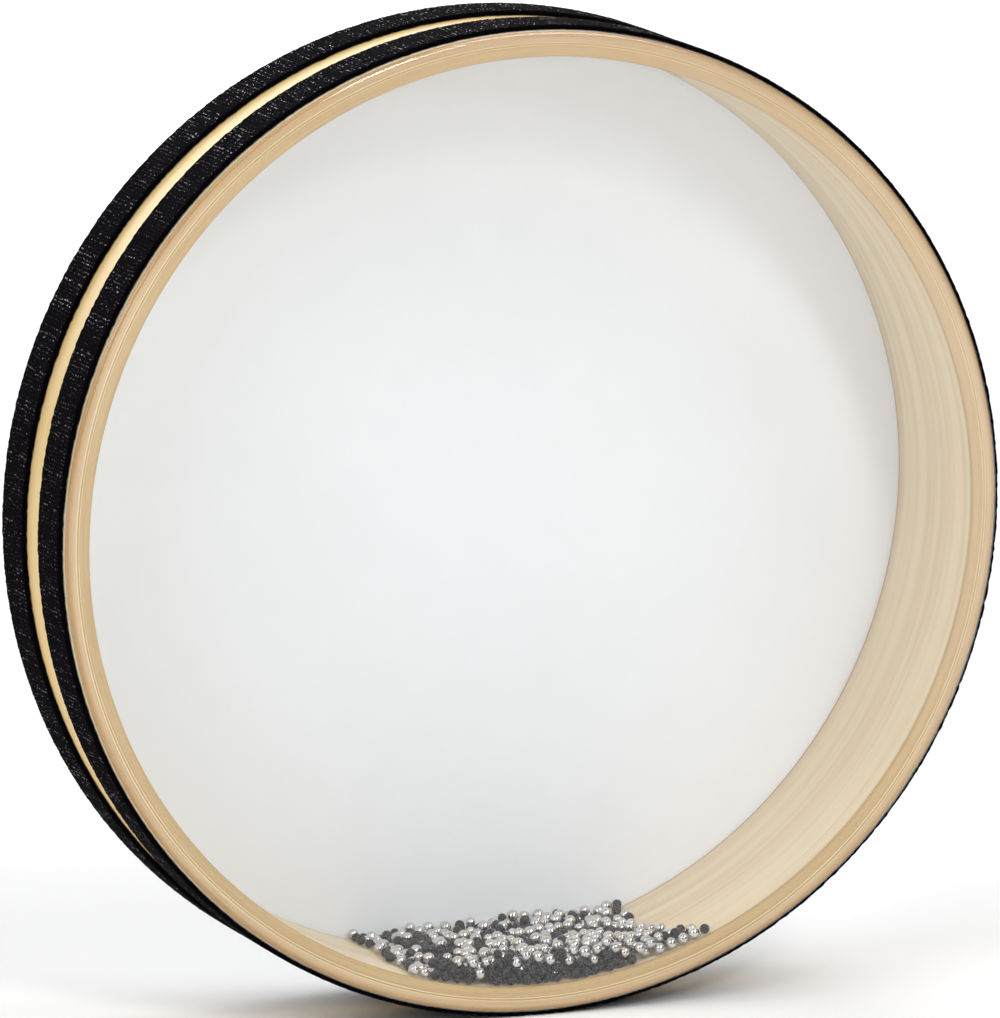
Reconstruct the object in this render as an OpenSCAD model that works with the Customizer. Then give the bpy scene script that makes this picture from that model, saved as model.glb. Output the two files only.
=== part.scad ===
// Ocean drum: a shallow round drum, a clear head in front, a white head behind,
// and loose steel balls that roll round the wall and across the heads.
// The drum's axis runs along Y with the clear head toward -Y.
// It stands on its rim, with its centre at the origin.

/* [Drum] */
// Diameter over the heads' skirts
drum_d = 254; // [200:1:330]
// Depth over both heads
drum_depth = 50.8; // [42:0.1:80]
// Thickness of the wooden wall
wall_t = 6.6; // [5:0.1:10]
// Share of the wall that the pale middle ply takes
core_share = 0.14; // [0.08:0.01:0.3]
// Bevel on the inner edge of the wall
inner_bevel = 0.5; // [0.2:0.1:1]

/* [Heads] */
// Thickness of a head's film
film_t = 0.3; // [0.2:0.05:0.5]
// Inner radius of the fold over the wall's edge
fold_r = 1.4; // [0.8:0.1:2]
// How far a head's skirt runs back over the wall
skirt_l = 17; // [8:0.5:17]

/* [Ribbons] */
// Width of the woven ribbon
ribbon_w = 16.8; // [10:0.1:17]
// Thickness of the woven ribbon
ribbon_t = 1.2; // [0.4:0.05:1.6]
// Bare edge in front of the front ribbon
front_inset = 1.8; // [1.8:0.1:4]
// Bare edge behind the rear ribbon
rear_inset = 3.7; // [1.8:0.1:4]
// Opening between the ends of a ribbon
ribbon_seam = 0.5; // [0.2:0.1:2]

/* [Balls] */
// Smallest bright ball
bright_d_low = 2.6; // [2.4:0.1:3]
// Largest bright ball
bright_d_high = 3.5; // [3:0.1:4.5]
// Smallest dark ball
dark_d_low = 2.4; // [2.2:0.1:2.6]
// Largest dark ball
dark_d_high = 2.8; // [2.6:0.1:3.5]
// Share of dark balls among the lowest in the middle
low_dark_share = 0.8; // [0:0.05:1]
// Share of dark balls on top and at the ends
high_dark_share = 0.27; // [0:0.05:1]
// Thickness of the bed that lies on the wall
bed_t = 4.4; // [4:0.2:6]
// Where the pile ends on the left at the clear head, in degrees from straight down
left_front_deg = 16.5; // [14:0.5:30]
// Where it ends on the left halfway between the heads
left_middle_deg = 16.5; // [14:0.5:30]
// Where it ends on the left at the white head
left_back_deg = 16; // [14:0.5:30]
// Where it ends on the right at the clear head
right_front_deg = 23.5; // [14:0.5:30]
// Where it ends on the right halfway between the heads
right_middle_deg = 18.5; // [14:0.5:30]
// Where it ends on the right at the white head
right_back_deg = 20; // [14:0.5:30]
// How far the middle of the pile stands over a straight line between its ends
heap_rise = 0.3; // [0:0.1:3]
// Share of the way to the pile's ends that the heap covers
heap_share = 0.74; // [0.4:0.02:0.76]
// Smallest space between two balls
ball_gap = 0.06; // [0.05:0.01:0.3]
// Space between the balls and the drum's inside
side_gap = 0.2; // [0.1:0.05:0.6]
// Places tried for each ball
tries = 12; // [8:1:32]
// Times that a ball then rolls on to a lower place
rolls = 2; // [0:1:4]
// Choice of another chance arrangement
seed = 7; // [1:1:99]

/* [Hidden] */
drum_r = drum_d / 2;
wood_r = drum_r - film_t;
bore_r = wood_r - wall_t;
core_t = wall_t * core_share;
core_out_r = wood_r - (wall_t - core_t) / 2;
core_in_r = core_out_r - core_t;
wood_front = film_t;
wood_back = drum_depth - film_t;
fold_out_r = fold_r + film_t;
past = 1;
falls_share = 2.1;
press_share = 1.5;
roll_share = 0.5;
seam_deg = ribbon_seam / (2 * PI * drum_r) * 360;

// The space that the balls can take, and the circle that the lowest balls' middles lie on
ball_d_high = max(bright_d_high, dark_d_high);
ball_d_mean = (bright_d_low + bright_d_high + dark_d_low + dark_d_high) / 4;
room_r = bore_r - side_gap;
room_y = drum_depth / 2 - film_t - side_gap;
mid_r = room_r - ball_d_mean / 2;
left_degs = [[-room_y, left_front_deg], [0, left_middle_deg], [room_y, left_back_deg]];
right_degs = [[-room_y, right_front_deg], [0, right_middle_deg], [room_y, right_back_deg]];
bed_left = -mid_r * sin(max([for (row = left_degs) row[1]]));
bed_right = mid_r * sin(max([for (row = right_degs) row[1]]));
heap_left = -mid_r * sin(left_middle_deg * heap_share);
heap_right = mid_r * sin(right_middle_deg * heap_share);

// A grid of cells seen from above, each as wide as the largest ball and its gap
cell_w = ball_d_high + ball_gap;
lanes = ceil(2 * room_y / cell_w) + 2;
cells = (ceil((bed_right - bed_left) / cell_w) + 2) * lanes;

// How many balls fall in each stage, some of which find no room
heap_t = bore_r - mid_r * (cos(left_middle_deg) + cos(right_middle_deg)) / 2 + heap_rise - bed_t;
bed_falls = ceil((bed_right - bed_left) * room_y * bed_t * falls_share / pow(ball_d_mean, 3));
heap_falls = ceil((heap_right - heap_left) * room_y * heap_t * falls_share / pow(ball_d_mean, 3));
falls = bed_falls + heap_falls + 1;
chance = rands(0, 1, falls * 2, seed);
chance_x = rands(0, 1, falls * tries, seed + 1);
chance_y = rands(-press_share, press_share, falls * tries, seed + 2);

// Balls of the bed past these places belong to the ends of the pile
left_from = heap_left - cell_w;
right_from = heap_right + cell_w;

// Balls are [x, y, z, r, dark, in_heap].
function column_of(x) = floor((x - bed_left) / cell_w) + 1;

function lane_of(y) = floor((y + room_y) / cell_w) + 1;

function circle_z(x, r) = -sqrt(r * r - x * x);

function within(v, low, high) = max(low, min(high, v));

// Height at which a ball of radius r comes to rest on ball b
function z_on(x, y, r, b) =
    let (
        reach = r + b[3] + ball_gap,
        left = reach * reach - pow(x - b[0], 2) - pow(y - b[1], 2)
    )
    left > 0 ? b[2] + sqrt(left) : -room_r;

function rest_z(x, y, r, grid) =
    let (
        column = column_of(x),
        lane = lane_of(y)
    )
    max([
        circle_z(x, room_r - r),
        for (j = [column - 1:column + 1])
            for (k = [lane - 1:lane + 1])
                for (b = grid[j * lanes + k])
                    z_on(x, y, r, b),
    ]);

// Height of the straight line between the pile's two ends, at a place
function line_z(x, y) =
    let (
        left_deg = lookup(y, left_degs),
        right_deg = lookup(y, right_degs),
        a = mid_r * [-sin(left_deg), -cos(left_deg)],
        b = mid_r * [sin(right_deg), -cos(right_deg)]
    )
    a[1] + (b[1] - a[1]) * (x - a[0]) / (b[0] - a[0]);

// Height that no ball's middle passes
function top_z(x, y, in_heap) =
    in_heap
    ? line_z(x, y) + heap_rise * sin(180 * (x - heap_left) / (heap_right - heap_left))
    : min(line_z(x, y), circle_z(x, bore_r - bed_t));

function depth_at(p) = top_z(p[0], p[1], p[5]) - p[2];

function deepest(ps) =
    let (
        depths = [for (p = ps) depth_at(p)],
        most = max(depths)
    )
    [for (k = [0:len(ps) - 1]) if (depths[k] == most) ps[k]][0];

// A ball at rest as near to x and y as the pile's and the heads' limits let it be
function placed(x, y, r, dark, in_heap, grid) =
    let (
        at_x = within(x, in_heap ? heap_left : bed_left, in_heap ? heap_right : bed_right),
        at_y = within(y, r - room_y, room_y - r)
    )
    [at_x, at_y, rest_z(at_x, at_y, r, grid), r, dark, in_heap];

function rolled(p, grid, step, count) =
    count == 0
    ? p
    : rolled(
        deepest([
            p,
            for (a = [0:60:300])
                placed(p[0] + step * cos(a), p[1] + step * sin(a), p[3], p[4], p[5], grid),
        ]),
        grid,
        step * roll_share,
        count - 1
    );

function is_dark(i, seat) =
    let (
        is_low = seat[2] < circle_z(seat[0], mid_r - ball_d_mean),
        is_mid = seat[0] > heap_left && seat[0] < heap_right
    )
    chance[2 * i] < (is_low && is_mid ? low_dark_share : high_dark_share);

// A ball finds its seat as one of middle size, and then takes its own size there
function new_ball(i, grid, in_heap) =
    let (
        from = in_heap ? heap_left : bed_left,
        to = in_heap ? heap_right : bed_right,
        first = deepest([
            for (j = [i * tries:(i + 1) * tries - 1])
                placed(
                    from + (to - from) * chance_x[j],
                    room_y * chance_y[j],
                    ball_d_mean / 2,
                    false,
                    in_heap,
                    grid
                ),
        ]),
        seat = rolled(first, grid, ball_d_mean / 2, rolls),
        dark = is_dark(i, seat),
        low = dark ? dark_d_low : bright_d_low,
        high = dark ? dark_d_high : bright_d_high,
        r = (low + (high - low) * chance[2 * i + 1]) / 2
    )
    placed(seat[0], seat[1], r, dark, in_heap, grid);

function with_ball(grid, p) =
    let (cell = column_of(p[0]) * lanes + lane_of(p[1]))
    [for (j = [0:cells]) j == cell ? concat(grid[j], [p]) : grid[j]];

// Balls fall one at a time, each to the deepest of the places tried.
// One that would stand over the pile's top stays out.
function filled(grid, in_heap, first, last) =
    [
        for (
            i = first, now = grid;
            i <= last;
            p = new_ball(i, now, in_heap),
            now = depth_at(p) > 0 ? with_ball(now, p) : now,
            i = i + 1
        )
            if (i == last) now
    ][0];

bed_grid = filled([for (j = [0:cells]) []], false, 0, bed_falls);
whole_grid = filled(bed_grid, true, bed_falls, bed_falls + heap_falls);
balls = [for (cell = whole_grid) for (p = cell) p];

function part_of(p) =
    p[5] ? "heap"
    : p[0] > right_from ? "right"
    : p[0] < left_from ? "left"
    : "bed";

// Turns a profile of [radius, depth from the front face] about the drum's axis
module around(angle = 360) {
    translate([0, -drum_depth / 2, 0])
        rotate([-90, 0, 0])
            rotate_extrude(angle = angle, $fn = 180)
                children();
}

module ring_profile(r_in, r_out, front, back) {
    translate([r_in, front])
        square([r_out - r_in, back - front]);
}

// A block from the axis out to r, with its outer front corner rounded
module folded_profile(r, fold, front, back) {
    translate([0, front])
        square([r - fold, back - front]);
    translate([0, front + fold])
        square([r, back - front - fold]);
    translate([r - fold, front + fold])
        circle(r = fold, $fn = 48);
}

module shell_outer_ply() {
    color("burlywood")
        around()
            difference() {
                intersection() {
                    folded_profile(wood_r, fold_r, wood_front, wood_back);
                    translate([0, drum_depth])
                        mirror([0, 1])
                            folded_profile(wood_r, fold_r, wood_front, wood_back);
                }
                ring_profile(0, core_out_r, 0, drum_depth);
            }
}

module shell_core_ply() {
    color("wheat")
        around()
            ring_profile(core_in_r, core_out_r, wood_front, wood_back);
}

module shell_inner_ply() {
    color("tan")
        around()
            polygon([
                [core_in_r, wood_front],
                [bore_r + inner_bevel, wood_front],
                [bore_r, wood_front + inner_bevel],
                [bore_r, wood_back - inner_bevel],
                [bore_r + inner_bevel, wood_back],
                [core_in_r, wood_back],
            ]);
}

module head_profile() {
    difference() {
        folded_profile(drum_r, fold_out_r, 0, skirt_l);
        folded_profile(wood_r, fold_r, film_t, skirt_l + past);
    }
}

module front_head() {
    color("azure", 0.3)
        around()
            head_profile();
}

module rear_head() {
    color("white")
        around()
            translate([0, drum_depth])
                mirror([0, 1])
                    head_profile();
}

module ribbon(front) {
    color("black")
        around(360 - seam_deg)
            ring_profile(drum_r, drum_r + ribbon_t, front, front + ribbon_w);
}

module front_ribbon() {
    ribbon(front_inset);
}

module rear_ribbon() {
    ribbon(drum_depth - rear_inset - ribbon_w);
}

module shot(part, dark) {
    color(dark ? "dimgray" : "silver")
        for (p = balls)
            if (part_of(p) == part && p[4] == dark)
                translate([p[0], p[1], p[2]])
                    sphere(r = p[3], $fn = 32);
}

module shot_bed_bright() {
    shot("bed", false);
}

module shot_bed_dark() {
    shot("bed", true);
}

module shot_left_bright() {
    shot("left", false);
}

module shot_left_dark() {
    shot("left", true);
}

module shot_right_bright() {
    shot("right", false);
}

module shot_right_dark() {
    shot("right", true);
}

module shot_heap_bright() {
    shot("heap", false);
}

module shot_heap_dark() {
    shot("heap", true);
}

shell_outer_ply();
shell_core_ply();
shell_inner_ply();
front_head();
rear_head();
front_ribbon();
rear_ribbon();
shot_bed_bright();
shot_bed_dark();
shot_left_bright();
shot_left_dark();
shot_right_bright();
shot_right_dark();
shot_heap_bright();
shot_heap_dark();
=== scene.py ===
import math
import random

import bmesh
import bpy
from mathutils import Euler, Matrix, Vector, noise


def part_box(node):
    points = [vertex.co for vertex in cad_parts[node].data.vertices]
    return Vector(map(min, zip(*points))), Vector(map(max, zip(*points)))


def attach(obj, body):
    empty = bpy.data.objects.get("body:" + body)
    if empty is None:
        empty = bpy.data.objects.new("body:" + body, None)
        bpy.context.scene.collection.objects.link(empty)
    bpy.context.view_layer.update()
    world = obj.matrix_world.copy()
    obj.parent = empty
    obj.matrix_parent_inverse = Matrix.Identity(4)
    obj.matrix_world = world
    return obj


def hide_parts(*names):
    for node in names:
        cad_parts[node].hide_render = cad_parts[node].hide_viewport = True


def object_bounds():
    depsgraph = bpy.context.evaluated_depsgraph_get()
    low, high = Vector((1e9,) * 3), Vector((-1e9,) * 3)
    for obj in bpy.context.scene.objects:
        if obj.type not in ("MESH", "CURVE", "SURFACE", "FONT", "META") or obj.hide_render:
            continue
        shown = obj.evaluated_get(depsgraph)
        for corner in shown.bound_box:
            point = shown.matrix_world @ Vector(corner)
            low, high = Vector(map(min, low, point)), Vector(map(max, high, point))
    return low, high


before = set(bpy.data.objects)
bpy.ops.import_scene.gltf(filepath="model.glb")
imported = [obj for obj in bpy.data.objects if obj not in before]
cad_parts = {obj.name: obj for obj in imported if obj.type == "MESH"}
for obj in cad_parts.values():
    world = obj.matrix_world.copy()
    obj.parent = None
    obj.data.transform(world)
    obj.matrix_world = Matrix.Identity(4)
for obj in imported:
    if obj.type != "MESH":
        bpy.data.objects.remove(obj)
cadLow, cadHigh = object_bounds()
print("stage: frame loaded")

# Metres within which two points are taken as one
same = 1e-7
close = 1e-6


# Camera: a long lens from the left and a little above, aimed near the middle of the clear head.
cameraSet = {
    "azimuth": -20.61,
    "elevation": 10.134,
    "distance": 3.0498,
    "target": (-0.01025, -0.0254, 0.00478),
    "lens": 424.4,
    "sensorWidth": 36,
    "clip": (0.1, 60),
}

lightSet = {
    # name: azimuth, elevation, distance, width, height, watts
    "highKey": (5, 33, 2.4, 0.36, 0.36, 11.5),
    "lowKey": (12, 20, 2.4, 0.36, 0.36, 6.6),
    "faceSoftbox": (4, 5, 2.6, 0.8, 0.7, 2.5),
    "leftSoftbox": (-55, 12, 2.2, 1.5, 1.5, 9.5),
    "upperLeftSoftbox": (-60, 45, 2.2, 2.2, 2.2, 24),
    "upperRightSoftbox": (35, 50, 2.2, 1.0, 1.0, 15.5),
    "floorSoftbox": (170, 55, 2.4, 2.0, 2.0, 27),
    "rearSoftbox": (180, 15, 2.4, 2.0, 1.2, 34),
}

stageSet = {
    "floorReach": 14,
    "floorColour": (0.97, 0.97, 0.97),
    "backdrop": 1.0,  # what the camera sees past the floor
    "ambient": 0.02,  # what the room adds to the softboxes
}


def directionOf(azimuth, elevation):
    a, e = math.radians(azimuth), math.radians(elevation)
    return Vector((math.sin(a) * math.cos(e), -math.cos(a) * math.cos(e), math.sin(e)))


def placeCamera(v):
    data = bpy.data.cameras.new("camera")
    data.lens = v["lens"]
    data.sensor_width = v["sensorWidth"]
    data.clip_start, data.clip_end = v["clip"]
    camera = bpy.data.objects.new("camera", data)
    bpy.context.scene.collection.objects.link(camera)
    back = directionOf(v["azimuth"], v["elevation"])
    camera.location = Vector(v["target"]) + back * v["distance"]
    camera.rotation_euler = (-back).to_track_quat("-Z", "Y").to_euler()
    bpy.context.scene.camera = camera


def placeLights(lights):
    for name, (azimuth, elevation, distance, width, height, watts) in lights.items():
        data = bpy.data.lights.new(name, "AREA")
        data.shape = "RECTANGLE"
        data.size, data.size_y = width, height
        data.energy = watts
        light = bpy.data.objects.new(name, data)
        bpy.context.scene.collection.objects.link(light)
        back = directionOf(azimuth, elevation)
        light.location = back * distance
        light.rotation_euler = (-back).to_track_quat("-Z", "Y").to_euler()


def newMaterial(name):
    material = bpy.data.materials.new(name)
    material.use_nodes = True
    tree = material.node_tree
    tree.nodes.clear()
    output = tree.nodes.new("ShaderNodeOutputMaterial")
    return material, tree, output


def addNode(tree, kind, inputs=None, **settings):
    node = tree.nodes.new(kind)
    for key, value in settings.items():
        setattr(node, key, value)
    for key, value in (inputs or {}).items():
        if isinstance(value, bpy.types.NodeSocket):
            tree.links.new(value, node.inputs[key])
        else:
            node.inputs[key].default_value = value
    return node


def srgb(red, green, blue):
    # Screen values from 0 to 255, made linear
    shares = [c / 255 for c in (red, green, blue)]
    linear = [c / 12.92 if c <= 0.04045 else ((c + 0.055) / 1.055) ** 2.4 for c in shares]
    return (*linear, 1)


def addRamp(tree, factor, stops):
    node = addNode(tree, "ShaderNodeValToRGB", {"Fac": factor})
    ramp = node.color_ramp
    ramp.elements[0].position, ramp.elements[0].color = stops[0]
    ramp.elements[1].position, ramp.elements[1].color = stops[-1]
    for position, colour in stops[1:-1]:
        ramp.elements.new(position).color = colour
    return node.outputs["Color"]


def addMix(tree, factor, first, second, blend="MIX"):
    node = addNode(tree, "ShaderNodeMix", data_type="RGBA", blend_type=blend)
    for key, value in ((0, factor), (6, first), (7, second)):
        if isinstance(value, bpy.types.NodeSocket):
            tree.links.new(value, node.inputs[key])
        else:
            node.inputs[key].default_value = value
    return node.outputs[2]


def addMath(tree, operation, first, second=None):
    node = addNode(tree, "ShaderNodeMath", operation=operation)
    for key, value in ((0, first), (1, second)):
        if isinstance(value, bpy.types.NodeSocket):
            tree.links.new(value, node.inputs[key])
        elif value is not None:
            node.inputs[key].default_value = value
    return node.outputs[0]


def addNoise(tree, vector, scale, detail):
    inputs = {"Vector": vector, "Scale": scale, "Detail": detail}
    return addNode(tree, "ShaderNodeTexNoise", inputs).outputs["Fac"]


def addRange(tree, value, fromMin, fromMax, toMin=0.0, toMax=1.0, smooth=True):
    node = addNode(
        tree,
        "ShaderNodeMapRange",
        {"Value": value, "From Min": fromMin, "From Max": fromMax, "To Min": toMin, "To Max": toMax},
        interpolation_type="SMOOTHSTEP" if smooth else "LINEAR",
    )
    return node.outputs["Result"]


def setStage(v):
    world = bpy.data.worlds.new("studio")
    world.use_nodes = True
    seen = addNode(world.node_tree, "ShaderNodeLightPath").outputs["Is Camera Ray"]
    strength = addRange(world.node_tree, seen, 0, 1, v["ambient"], v["backdrop"], smooth=False)
    back = world.node_tree.nodes["Background"]
    back.inputs["Color"].default_value = (1, 1, 1, 1)
    world.node_tree.links.new(strength, back.inputs["Strength"])
    bpy.context.scene.world = world
    bpy.context.scene.view_settings.view_transform = "Standard"
    bm = bmesh.new()
    bmesh.ops.create_grid(bm, x_segments=1, y_segments=1, size=v["floorReach"] / 2)
    bmesh.ops.translate(bm, verts=bm.verts, vec=(0, 0, cadLow.z))
    mesh = bpy.data.meshes.new("floor")
    bm.to_mesh(mesh)
    bm.free()
    material, tree, output = newMaterial("palePaper")
    shader = addNode(tree, "ShaderNodeBsdfDiffuse", {"Color": (*v["floorColour"], 1)})
    tree.links.new(shader.outputs["BSDF"], output.inputs["Surface"])
    mesh.materials.append(material)
    floor = bpy.data.objects.new("floor", mesh)
    bpy.context.scene.collection.objects.link(floor)


placeCamera(cameraSet)
placeLights(lightSet)
setStage(stageSet)
print("stage: camera, lights and floor")


def ringSizes(node):
    # Inner and outer radius of a ring, and where it starts and ends along the axis
    radii = [math.hypot(v.co.x, v.co.z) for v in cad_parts[node].data.vertices]
    low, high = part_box(node)
    return min(radii), max(radii), low.y, high.y


def turned(bm, steps, angle=math.tau):
    full = angle == math.tau
    bmesh.ops.spin(
        bm,
        geom=bm.verts[:] + bm.edges[:],
        cent=(0, 0, 0),
        axis=(0, 1, 0),
        dvec=(0, 0, 0),
        angle=angle,
        steps=steps,
        use_merge=full,
    )
    bmesh.ops.remove_doubles(bm, verts=bm.verts, dist=same)
    if not full:
        ends = [e for e in bm.edges if e.is_boundary]
        bmesh.ops.holes_fill(bm, edges=ends, sides=0)
    bmesh.ops.recalc_face_normals(bm, faces=bm.faces)


def addPiece(name, bm, material, body, nodes):
    mesh = bpy.data.meshes.new(name)
    bm.to_mesh(mesh)
    bm.free()
    mesh.materials.append(material)
    mesh.shade_smooth()
    piece = bpy.data.objects.new(name, mesh)
    bpy.context.scene.collection.objects.link(piece)
    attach(piece, body)
    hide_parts(*nodes)
    return piece


def angleOf(v):
    return math.atan2(v.z, v.x)


# The wall: three plies bent into rings, seen on their front edges through the clear head.
wallSet = {
    "steps": 256,
    "outerRound": 0.0014,  # the film's fold sits on this rounding
    "innerBevel": 0.0005,
    "plyBevel": 0.00012,  # hairline between two plies
    "roundSteps": 6,
    "bevelSteps": 2,
    "sharp": 30,  # degrees past which an edge isn't shaded smooth
    "grainAround": 0.035,  # length of a streak of grain
    "grainAcross": 0.0005,  # width of a streak of grain
    "streakRange": (0.3, 0.7),  # each range is a stretch of the noise, from 0 to 1
    "streakShare": 0.8,
    "driftAround": 0.16,
    "driftAcross": 0.0035,
    "driftRange": (0.35, 0.65),
    "driftShare": 0.9,
    "wander": 0.3,  # how far the cut edge's colours stray across it
    "speckleRange": (0.35, 0.75),
    "speckleShare": 0.35,
    "poreAround": 0.0016,
    "poreAcross": 0.0005,
    "poreRange": (0.56, 0.7),
    "poreRise": 0.2,
    "poreColour": srgb(146, 100, 50),
    "paintedLitRange": (-0.02, 0.15),  # metres up and to the right; painted light: the cut edges turn lighter and rosier towards the upper right, as if lit there
    "paintedLitShare": 0.4,
    "paintedLitColour": srgb(212, 186, 158),
    # colour of the painted highlight bands
    "paintedHighlightColour": srgb(254, 250, 232),
    "frontPaintedHighlight": (-0.0007, 0.0002, 0.5),  # start and end from the front ribbon's front edge, and share; a painted highlight on the film's fold over the rounded front edge
    "stripPaintedHighlight": (-0.0002, 0.0006, 0.9),  # the same from its back edge; a painted highlight, a bright line along the front ribbon's back edge
    "bandSoft": 0.0001,
    "edgeDepth": 0.0016,  # how far the cut edge's colours reach back
    "glossRange": (0.2, 0.8),
    "grainBump": 0.25,
    "grainDepth": 0.00003,
    "specular": 0.25,
}


def grainCoordinates(tree, around, across):
    # Grain runs round the ring: long along the turn, fine along the radius and the axis
    place = addNode(tree, "ShaderNodeTexCoord").outputs["Object"]
    flat = addNode(tree, "ShaderNodeVectorMath", {0: place, 1: (1, 0, 1)}, operation="MULTIPLY")
    way = addNode(tree, "ShaderNodeVectorMath", {0: flat.outputs[0]}, operation="NORMALIZE")
    turn = addNode(tree, "ShaderNodeVectorMath", {0: way.outputs[0]}, operation="SCALE")
    turn.inputs["Scale"].default_value = cadHigh.x / around
    axial = addNode(tree, "ShaderNodeVectorMath", {0: place, 1: (0, 1 / across, 0)}, operation="MULTIPLY")
    both = addNode(tree, "ShaderNodeVectorMath", {0: turn.outputs[0], 1: axial.outputs[0]}, operation="ADD")
    radius = addNode(tree, "ShaderNodeVectorMath", {0: flat.outputs[0]}, operation="LENGTH")
    depth = addMath(tree, "MULTIPLY", radius.outputs["Value"], 1 / across)
    return both.outputs[0], depth


def grainNoise(tree, around, across, detail, roughness=0.55):
    vector, depth = grainCoordinates(tree, around, across)
    node = addNode(
        tree,
        "ShaderNodeTexNoise",
        {"Vector": vector, "W": depth, "Scale": 1, "Detail": detail, "Roughness": roughness},
        noise_dimensions="4D",
    )
    return node.outputs["Fac"]


def ringPlace(tree):
    # Radius, distance along the axis from the middle, and how far up and right a point lies
    place = addNode(tree, "ShaderNodeTexCoord").outputs["Object"]
    flat = addNode(tree, "ShaderNodeVectorMath", {0: place, 1: (1, 0, 1)}, operation="MULTIPLY")
    radius = addNode(tree, "ShaderNodeVectorMath", {0: flat.outputs[0]}, operation="LENGTH").outputs["Value"]
    parts = addNode(tree, "ShaderNodeSeparateXYZ", {0: place})
    upRight = addMath(tree, "ADD", parts.outputs["X"], parts.outputs["Z"])
    return radius, parts.outputs["Y"], upRight


def bandMask(tree, value, low, high, soft):
    rise = addRange(tree, value, low - soft, low + soft)
    fall = addRange(tree, value, high - soft, high + soft, 1.0, 0.0)
    return addMath(tree, "MULTIPLY", rise, fall)


# Where a painted highlight band starts and ends along the axis, and how strong it is
def paintedHighlightBand(edge, band):
    start, end, share = band
    return edge + start, edge + end, share


def plyMaterial(name, look, sizes, v, paintedHighlightBands=()):
    # where along the axis a painted highlight lightens the face, and how much
    material, tree, output = newMaterial(name)
    innerR, outerR, _, backAt = sizes
    radius, axial, upRight = ringPlace(tree)
    depth = addMath(tree, "ABSOLUTE", axial)
    fine = grainNoise(tree, v["grainAround"], v["grainAcross"], detail=4, roughness=0.6)
    broad = grainNoise(tree, v["driftAround"], v["driftAcross"], detail=2)
    streak = addRange(tree, fine, *v["streakRange"], 0.0, v["streakShare"])
    drift = addRange(tree, broad, *v["driftRange"], 0.0, v["driftShare"])
    face = addMix(tree, streak, look["face"][0], look["face"][1])
    face = addMix(tree, drift, face, look["face"][2])
    across = addRange(tree, radius, innerR, outerR, smooth=False)
    wander = addMath(tree, "MULTIPLY", addMath(tree, "SUBTRACT", broad, 0.5), v["wander"])
    edge = addRamp(tree, addMath(tree, "ADD", across, wander), look["edge"])
    speckle = addRange(tree, fine, *v["speckleRange"], 0.0, v["speckleShare"])
    edge = addMix(tree, speckle, edge, look["edge"][-1][1], "MULTIPLY")
    pores = addRange(tree, grainNoise(tree, v["poreAround"], v["poreAcross"], detail=2), *v["poreRange"])
    flecks, start = look["flecks"]
    poreShare = addRange(tree, across, start, start + v["poreRise"], 0.0, flecks)
    pores = addMath(tree, "MULTIPLY", pores, poreShare)
    edge = addMix(tree, pores, edge, v["poreColour"])
    # Painted light: the cut edge is tinted lighter and rosier towards the upper right, where the light falls
    paintedLitSide = addRange(tree, upRight, *v["paintedLitRange"], 0.0, v["paintedLitShare"])
    edge = addMix(tree, paintedLitSide, edge, v["paintedLitColour"])
    cut = addRange(tree, depth, backAt - v["edgeDepth"], backAt - v["edgeDepth"] / 2)
    colour = addMix(tree, cut, face, edge)
    # Painted highlights: pale bands on the fold at the front edge and along the front ribbon's back edge
    for low, high, share in paintedHighlightBands:
        highlightMask = addMath(tree, "MULTIPLY", bandMask(tree, axial, low, high, v["bandSoft"]), share)
        colour = addMix(tree, highlightMask, colour, v["paintedHighlightColour"])
    rough = addRange(tree, fine, *v["glossRange"], *look["gloss"])
    bump = addNode(
        tree, "ShaderNodeBump", {"Height": fine, "Strength": v["grainBump"], "Distance": v["grainDepth"]}
    )
    shader = addNode(
        tree,
        "ShaderNodeBsdfPrincipled",
        {
            "Base Color": colour,
            "Roughness": rough,
            "Normal": bump.outputs["Normal"],
            "Specular IOR Level": v["specular"],
        },
    )
    tree.links.new(shader.outputs["BSDF"], output.inputs["Surface"])
    return material


def plyRing(sizes, v, outerRound, innerBevel):
    innerR, outerR, frontAt, backAt = sizes
    bm = bmesh.new()
    corners = [(innerR, frontAt), (outerR, frontAt), (outerR, backAt), (innerR, backAt)]
    made = [bm.verts.new((x, y, 0)) for x, y in corners]
    bm.faces.new(made)
    outside = (made[1:3], outerRound, v["roundSteps"])
    inside = ((made[0], made[3]), innerBevel, v["bevelSteps"])
    for verts, offset, segments in (outside, inside):
        bmesh.ops.bevel(
            bm,
            geom=list(verts),
            affect="VERTICES",
            offset=offset,
            offset_type="OFFSET",
            segments=segments,
            profile=0.5,
            material=-1,
        )
    bmesh.ops.delete(bm, geom=bm.faces[:], context="FACES_ONLY")
    turned(bm, v["steps"])
    return bm


outerSizes = ringSizes("shell_outer_ply")
coreSizes = ringSizes("shell_core_ply")
innerSizes = ringSizes("shell_inner_ply")

ribbonFront, ribbonBack = ringSizes("front_ribbon")[2:]
# Painted highlights: a pale line on the film's fold at the front and one along the front ribbon's back edge
paintedHighlightBands = [paintedHighlightBand(ribbonFront, wallSet["frontPaintedHighlight"]), paintedHighlightBand(ribbonBack, wallSet["stripPaintedHighlight"])]

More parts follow.
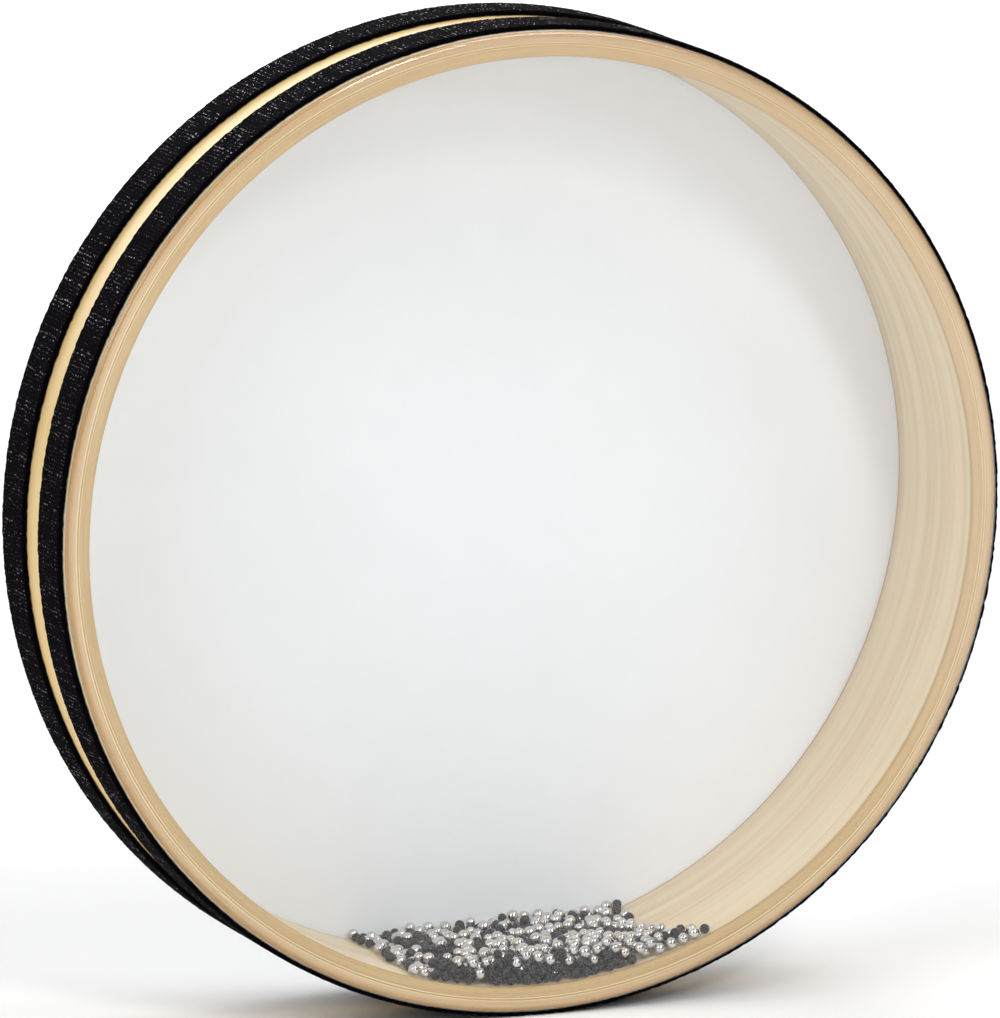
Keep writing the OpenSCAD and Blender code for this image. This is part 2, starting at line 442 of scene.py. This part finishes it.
# face: main, streak and drift colour; edge: colours across the cut edge, from the inside out
# flecks: how strongly dark pores dot the cut edge, and from which share of its width
outerLook = {
    "face": (srgb(240, 214, 148), srgb(228, 196, 122), srgb(240, 206, 148)),
    "edge": [
        (0.0, srgb(214, 188, 150)),
        (0.3, srgb(210, 182, 142)),
        (0.5, srgb(202, 168, 118)),
        (0.8, srgb(180, 138, 76)),
        (1.0, srgb(186, 146, 88)),
    ],
    "flecks": (0.35, 0.45),
    "gloss": (0.3, 0.45),
}
coreLook = {
    "face": (srgb(240, 224, 184), srgb(226, 202, 154), srgb(232, 210, 166)),
    "edge": [
        (0.0, srgb(236, 218, 176)),
        (0.2, srgb(236, 218, 176)),
        (0.32, srgb(192, 158, 104)),
        (0.68, srgb(192, 158, 104)),
        (0.8, srgb(238, 222, 182)),
        (1.0, srgb(238, 222, 182)),
    ],
    "flecks": (0.0, 0.0),
    "gloss": (0.4, 0.55),
}
innerLook = {
    "face": (srgb(228, 208, 178), srgb(219, 194, 156), srgb(234, 219, 186)),
    "edge": [
        (0.0, srgb(196, 164, 114)),
        (0.35, srgb(206, 176, 126)),
        (1.0, srgb(202, 174, 128)),
    ],
    "flecks": (0.2, 0.0),
    "gloss": (0.38, 0.55),
}
outerPlyWood = plyMaterial("outerPlyWood", outerLook, outerSizes, wallSet, paintedHighlightBands)
corePlyWood = plyMaterial("corePlyWood", coreLook, coreSizes, wallSet)
innerPlyWood = plyMaterial("innerPlyWood", innerLook, innerSizes, wallSet)

outerPly = addPiece(
    "outerPly",
    plyRing(outerSizes, wallSet, wallSet["outerRound"], wallSet["plyBevel"]),
    outerPlyWood,
    "drum",
    ["shell_outer_ply"],
)
corePly = addPiece(
    "corePly",
    plyRing(coreSizes, wallSet, wallSet["plyBevel"], wallSet["plyBevel"]),
    corePlyWood,
    "drum",
    ["shell_core_ply"],
)
innerPly = addPiece(
    "innerPly",
    plyRing(innerSizes, wallSet, wallSet["plyBevel"], wallSet["innerBevel"]),
    innerPlyWood,
    "drum",
    ["shell_inner_ply"],
)
for ply in (outerPly, corePly, innerPly):
    ply.data.set_sharp_from_angle(angle=math.radians(wallSet["sharp"]))
print("stage: plywood wall")


# The heads: one film in front and one behind, each folded back over the wall as a skirt.
headSet = {
    "steps": 256,
    "rings": 14,
    "film": 0.00024,  # a little under the real film, so that it clears the wood it lies on
    "foldRadius": 0.0017,
    "foldSteps": 8,
    "skirt": 0.017,
    "skirtCuts": 6,
    "sharp": 40,  # degrees past which an edge isn't shaded smooth
    "still": 0.001,  # width beside the fold where the film lies flat
    "slack": 0.00005,  # how far the stretched film wanders from flat
    "slackSize": 0.05,
    "creep": 0.000003,  # ripples that stay where the fold was pressed
    "creepSize": 0.007,
    "skirtGap": 0.00001,  # this near the outside, the film is skirt
}

clearSet = {
    "tint": (0.985, 0.99, 0.99, 1),
    "sheenFlat": 0.03,  # share of light that the film mirrors, seen straight on
    "sheenSlope": 0.75,
    "sheenPower": 4.0,
    "gloss": 0.06,
    "hazeColour": (0.95, 0.96, 0.97, 1),
    "hazeShares": (0.004, 0.014),
    "cloud": 40,
    "cloudRange": (0.3, 0.7),
}

whiteSet = {
    "colours": (srgb(245, 247, 250), srgb(242, 244, 247)),
    "rough": (0.3, 0.38),
    "cloud": 14,
    "cloudRange": (0.3, 0.7),
    "fine": 900,
    "fineBump": 0.12,
    "fineDepth": 0.00005,
    "throughColour": srgb(246, 246, 246),
    "throughShare": 0.35,  # share of light that passes through the film
}


def headFilm(facing, v):
    # facing is -1 for the front head and 1 for the rear one
    outer = cadHigh.y
    headR = ringSizes("front_head")[1]
    bm = bmesh.new()
    centre = bm.verts.new((0, -outer, 0))
    corner = bm.verts.new((headR, -outer, 0))
    hem = bm.verts.new((headR, -outer + v["skirt"], 0))
    bm.edges.new((centre, corner))
    bm.edges.new((corner, hem))
    bmesh.ops.bevel(
        bm,
        geom=[corner],
        affect="VERTICES",
        offset=v["foldRadius"],
        offset_type="OFFSET",
        segments=v["foldSteps"],
        profile=0.5,
        material=-1,
    )
    flat = max(bm.edges, key=lambda e: e.calc_length())
    bmesh.ops.subdivide_edges(bm, edges=[flat], cuts=v["rings"])
    skirt = [e for e in bm.edges if abs(e.verts[0].co.x - e.verts[1].co.x) < same]
    bmesh.ops.subdivide_edges(bm, edges=skirt, cuts=v["skirtCuts"])
    turned(bm, v["steps"])
    if sum(f.normal.y * f.calc_area() for f in bm.faces) > 0:
        bmesh.ops.reverse_faces(bm, faces=bm.faces)
    for vert in bm.verts:
        radius = math.hypot(vert.co.x, vert.co.z)
        if radius < headR - v["foldRadius"] - v["still"]:
            still = 1 - (radius / (headR - v["foldRadius"])) ** 4
            vert.co.y += v["slack"] * still * noise.noise(vert.co / v["slackSize"])
        elif radius < headR - v["skirtGap"]:
            vert.co.y += v["creep"] * noise.noise(vert.co / v["creepSize"])
    bmesh.ops.solidify(bm, geom=bm.faces[:], thickness=v["film"])
    if facing > 0:
        bmesh.ops.scale(bm, vec=(1, -1, 1), verts=bm.verts)
        bmesh.ops.reverse_faces(bm, faces=bm.faces)
    return bm


def clearFilmMaterial(v):
    material, tree, output = newMaterial("clearFilm")
    facing = addNode(tree, "ShaderNodeLayerWeight", {"Blend": 0.5}).outputs["Facing"]
    slope = addMath(tree, "POWER", facing, v["sheenPower"])
    sheen = addMath(tree, "MULTIPLY", slope, v["sheenSlope"])
    sheen = addMath(tree, "ADD", sheen, v["sheenFlat"])
    clear = addNode(tree, "ShaderNodeBsdfTransparent", {"Color": v["tint"]})
    gloss = addNode(tree, "ShaderNodeBsdfGlossy", {"Color": (1, 1, 1, 1), "Roughness": v["gloss"]})
    haze = addNode(tree, "ShaderNodeBsdfDiffuse", {"Color": v["hazeColour"]})
    film = addNode(tree, "ShaderNodeMixShader", {"Fac": sheen, 1: clear.outputs[0], 2: gloss.outputs[0]})
    place = addNode(tree, "ShaderNodeTexCoord").outputs["Object"]
    cloud = addNoise(tree, place, v["cloud"], 3)
    milky = addRange(tree, cloud, *v["cloudRange"], *v["hazeShares"])
    whole = addNode(tree, "ShaderNodeMixShader", {"Fac": milky, 1: film.outputs[0], 2: haze.outputs[0]})
    tree.links.new(whole.outputs[0], output.inputs["Surface"])
    return material


def whiteFilmMaterial(v):
    material, tree, output = newMaterial("whiteFilm")
    place = addNode(tree, "ShaderNodeTexCoord").outputs["Object"]
    cloud = addNoise(tree, place, v["cloud"], 3)
    colour = addMix(tree, addRange(tree, cloud, *v["cloudRange"]), *v["colours"])
    rough = addRange(tree, cloud, *v["cloudRange"], *v["rough"])
    fine = addNoise(tree, place, v["fine"], 2)
    bump = addNode(
        tree, "ShaderNodeBump", {"Height": fine, "Strength": v["fineBump"], "Distance": v["fineDepth"]}
    )
    shader = addNode(
        tree,
        "ShaderNodeBsdfPrincipled",
        {"Base Color": colour, "Roughness": rough, "Normal": bump.outputs["Normal"]},
    )
    through = addNode(tree, "ShaderNodeBsdfTranslucent", {"Color": v["throughColour"]})
    whole = addNode(
        tree, "ShaderNodeMixShader", {"Fac": v["throughShare"], 1: shader.outputs[0], 2: through.outputs[0]}
    )
    tree.links.new(whole.outputs[0], output.inputs["Surface"])
    return material


clearFilm = clearFilmMaterial(clearSet)
whiteFilm = whiteFilmMaterial(whiteSet)
clearHead = addPiece("clearHead", headFilm(-1, headSet), clearFilm, "drum", ["front_head"])
whiteHead = addPiece("whiteHead", headFilm(1, headSet), whiteFilm, "drum", ["rear_head"])
for head in (clearHead, whiteHead):
    head.data.set_sharp_from_angle(angle=math.radians(headSet["sharp"]))
print("stage: heads")


# The ribbons: thick ribbed bands of black cloth glued over the skirts, ends butted near the bottom.
ribbonSet = {
    "steps": 190,
    "ribsPerStep": 4,
    "cutsPerRib": 4,
    "seam": 0.0002,
    "seamAt": 1.5,  # radians from the right side, near the bottom
    "rib": 0.00014,
    "ribSeed": 11,
    "ribUneven": 0.6,
    "ribDrift": 0.5,
    "ribDriftSize": 0.004,
    "edgeProfile": ((0.0, 0.0), (0.0, 0.5), (0.00012, 0.82), (0.0004, 1.0)),  # inward, share of the height
    "border": 0.0008,
    "lines": 15,  # lines of vertices across the field
    "nub": 0.00012,
    "nubSize": 0.0009,
    "edgeWave": 0.0006,
    "edgeWaveSize": 0.0014,
    "edgeWavePower": 3,  # how fast the wave dies away from the edge
    "edgeApart": 7,  # keeps the two edges' waves unlike
    "longEdge": 0.002,  # edges past this length run round the drum and are cut into ribs
}

clothSet = {
    "yarn": 0.0005,
    "yarnRough": 0.6,
    "yarnDepth": 0.0007,
    "threadAround": 0.00058,  # spacing of the threads that shine
    "threadAcross": 0.00085,
    "threadUneven": 0.85,
    "threadRange": (0.32, 0.5),
    "luckRange": (0.35, 0.85),
    "luckShares": (0.03, 1.0),
    "patch": 240,
    "patchRange": (0.35, 0.6),
    "patchShares": (0.35, 1.0),
    "crestRange": (0.25, 0.7),
    "darkColours": ((0.0009, 0.0006, 0.0011, 1), (0.0022, 0.0014, 0.0024, 1)),
    "threadColour": (0.1, 0.078, 0.108, 1),
    "shineRange": (0, 0.5),
    "rough": (0.95, 0.17),
    "specular": 0.02,
}


def ribbonBand(node, v):
    innerR, outerR, frontAt, backAt = ringSizes(node)
    lowR = outerR - v["nub"] - v["rib"]
    middle, half = (frontAt + backAt) / 2, (backAt - frontAt) / 2
    field = half - v["border"]
    edge = [(innerR + (lowR - innerR) * share, half - inward) for inward, share in v["edgeProfile"]]
    points = [(r, middle - a) for r, a in edge]
    points += [(lowR, middle - field + 2 * field * k / (v["lines"] - 1)) for k in range(v["lines"])]
    points += [(r, middle + a) for r, a in reversed(edge)]
    bm = bmesh.new()
    verts = [bm.verts.new((r, y, 0)) for r, y in points]
    for first, second in zip(verts, verts[1:] + verts[:1]):
        bm.edges.new((first, second))
    turned(bm, v["steps"], math.tau - v["seam"] / outerR)
    bmesh.ops.rotate(bm, cent=(0, 0, 0), matrix=Matrix.Rotation(v["seamAt"], 3, "Y"), verts=bm.verts)
    level = [e for e in bm.edges if abs(e.verts[0].co.y - e.verts[1].co.y) < same]
    turns = [e for e in level if e.calc_length() > v["longEdge"]]
    cuts = v["ribsPerStep"] * v["cutsPerRib"] - 1
    bmesh.ops.subdivide_edges(bm, edges=turns, cuts=cuts, use_grid_fill=True)
    ribs = v["steps"] * v["ribsPerStep"]
    rng = random.Random(v["ribSeed"])
    ribShare = [1 - v["ribUneven"] * rng.random() for _ in range(ribs)]
    levels = sorted({point[0] for point in points})
    crests = bm.verts.layers.float.new("crest")
    for vert in bm.verts:
        chord = math.hypot(vert.co.x, vert.co.z)
        radius = min(levels, key=lambda r: abs(r - chord))
        side = (vert.co.y - middle) / half
        lift = 0
        if abs(side) * half <= field + close and radius > lowR - close:
            rib = angleOf(vert.co) % math.tau / math.tau * ribs
            rib += v["ribDrift"] * noise.noise(vert.co / v["ribDriftSize"])
            crest = ribShare[int(rib) % ribs] * (0.5 - 0.5 * math.cos(math.tau * rib))
            lift = v["rib"] * crest
            lift += v["nub"] * (0.5 + 0.5 * noise.noise(vert.co / v["nubSize"]))
            vert[crests] = crest
        vert.co.x *= (radius + lift) / chord
        vert.co.z *= (radius + lift) / chord
        along = Vector((vert.co.x, vert.co.z, v["edgeApart"] * round(side)))
        wave = noise.noise(along / v["edgeWaveSize"])
        vert.co.y += v["edgeWave"] * wave * abs(side) ** v["edgeWavePower"]
    return bm


def ribbonMaterial(v):
    material, tree, output = newMaterial("blackRibbon")
    place = addNode(tree, "ShaderNodeTexCoord").outputs["Object"]
    crest = addNode(tree, "ShaderNodeAttribute", attribute_name="crest").outputs["Fac"]
    yarn = addNode(
        tree,
        "ShaderNodeTexNoise",
        {"Vector": place, "Scale": 1 / v["yarn"], "Detail": 2, "Roughness": v["yarnRough"]},
    ).outputs["Fac"]
    vector = grainCoordinates(tree, v["threadAround"], v["threadAcross"])[0]
    loops = addNode(
        tree, "ShaderNodeTexVoronoi", {"Vector": vector, "Scale": 1, "Randomness": v["threadUneven"]}
    )
    luck = addNode(tree, "ShaderNodeSeparateColor", {"Color": loops.outputs["Color"]}).outputs["Red"]
    patch = addNoise(tree, place, v["patch"], 2)
    threads = addRange(tree, loops.outputs["Distance"], *v["threadRange"], 1.0, 0.0)
    for share in (
        addRange(tree, luck, *v["luckRange"], *v["luckShares"], smooth=False),
        addRange(tree, patch, *v["patchRange"], *v["patchShares"]),
        addRange(tree, crest, *v["crestRange"]),
    ):
        threads = addMath(tree, "MULTIPLY", threads, share)
    colour = addMix(tree, threads, addMix(tree, patch, *v["darkColours"]), v["threadColour"])
    rough = addRange(tree, threads, *v["shineRange"], *v["rough"], smooth=False)
    bump = addNode(tree, "ShaderNodeBump", {"Height": yarn, "Strength": 1.0, "Distance": v["yarnDepth"]})
    shader = addNode(
        tree,
        "ShaderNodeBsdfPrincipled",
        {
            "Base Color": colour,
            "Roughness": rough,
            "Metallic": threads,
            "Normal": bump.outputs["Normal"],
            "Specular IOR Level": v["specular"],
        },
    )
    tree.links.new(shader.outputs["BSDF"], output.inputs["Surface"])
    return material


ribbonCloth = ribbonMaterial(clothSet)
frontBand = addPiece(
    "frontBand", ribbonBand("front_ribbon", ribbonSet), ribbonCloth, "drum", ["front_ribbon"]
)
rearBand = addPiece(
    "rearBand", ribbonBand("rear_ribbon", ribbonSet), ribbonCloth, "drum", ["rear_ribbon"]
)
print("stage: ribbons")


# The balls: one piece for each finish and group, each ball where the CAD has it.
ballSet = {
    "rounds": 2,  # subdivisions of an icosphere, 80 faces
    "turns": 3,  # seed for how each ball lies
    "tone": 230,
    "toneStops": (0.3, 0.5, 0.7),
    "grain": 1300,
    "grainRange": (0.3, 0.7),
    "dentDepth": 0.0002,
}


def ballsOf(node):
    # Centre and radius of each separate ball of a CAD node, always in the same order
    bm = bmesh.new()
    bm.from_mesh(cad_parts[node].data)
    bmesh.ops.remove_doubles(bm, verts=bm.verts, dist=close)
    found = []
    waiting = set(bm.verts)
    while waiting:
        reached = [waiting.pop()]
        for vert in reached:
            for edge in vert.link_edges:
                other = edge.other_vert(vert)
                if other in waiting:
                    waiting.discard(other)
                    reached.append(other)
        low = [min(v.co[k] for v in reached) for k in range(3)]
        high = [max(v.co[k] for v in reached) for k in range(3)]
        centre = Vector((a + b) / 2 for a, b in zip(low, high))
        found.append((centre, max(b - a for a, b in zip(low, high)) / 2))
    bm.free()
    return sorted(found, key=lambda ball: tuple(ball[0]))


def steelMaterial(name, look, v):
    material, tree, output = newMaterial(name)
    place = addNode(tree, "ShaderNodeTexCoord").outputs["Object"]
    tone = addNoise(tree, place, v["tone"], 0)
    fine = addNoise(tree, place, v["grain"], 2)
    colour = addRamp(tree, tone, list(zip(v["toneStops"], look["tones"])))
    roughness = addRange(tree, fine, *v["grainRange"], *look["rough"])
    bump = addNode(
        tree, "ShaderNodeBump", {"Height": fine, "Strength": look["dents"], "Distance": v["dentDepth"]}
    )
    shader = addNode(
        tree,
        "ShaderNodeBsdfPrincipled",
        {
            "Base Color": colour,
            "Roughness": roughness,
            "Metallic": look["metal"],
            "Normal": bump.outputs["Normal"],
        },
    )
    tree.links.new(shader.outputs["BSDF"], output.inputs["Surface"])
    return material


def addBalls(name, node, body, material, v):
    rng = random.Random(v["turns"])
    bm = bmesh.new()
    for centre, radius in ballsOf(node):
        lie = Euler([rng.uniform(0, math.tau) for _ in range(3)]).to_matrix().to_4x4()
        bmesh.ops.create_icosphere(
            bm,
            subdivisions=v["rounds"],
            radius=radius,
            matrix=Matrix.Translation(centre) @ lie,
        )
    return addPiece(name, bm, material, body, [node])


brightLook = {
    "tones": ((0.70, 0.69, 0.71, 1), (0.60, 0.59, 0.60, 1), (0.68, 0.64, 0.58, 1)),
    "rough": (0.1, 0.24),
    "metal": 1.0,
    "dents": 0.3,
}
darkLook = {
    "tones": ((0.030, 0.026, 0.032, 1), (0.024, 0.023, 0.025, 1), (0.033, 0.025, 0.028, 1)),
    "rough": (0.22, 0.32),
    "metal": 0.85,
    "dents": 0.1,
}
brightSteel = steelMaterial("brightSteel", brightLook, ballSet)
darkSteel = steelMaterial("darkSteel", darkLook, ballSet)
for group in ("bed", "left", "right", "heap"):
    title = group.capitalize()
    body = "shot_" + group
    addBalls("bright" + title, body + "_bright", body, brightSteel, ballSet)
    addBalls("dark" + title, body + "_dark", body, darkSteel, ballSet)
print("stage: balls")
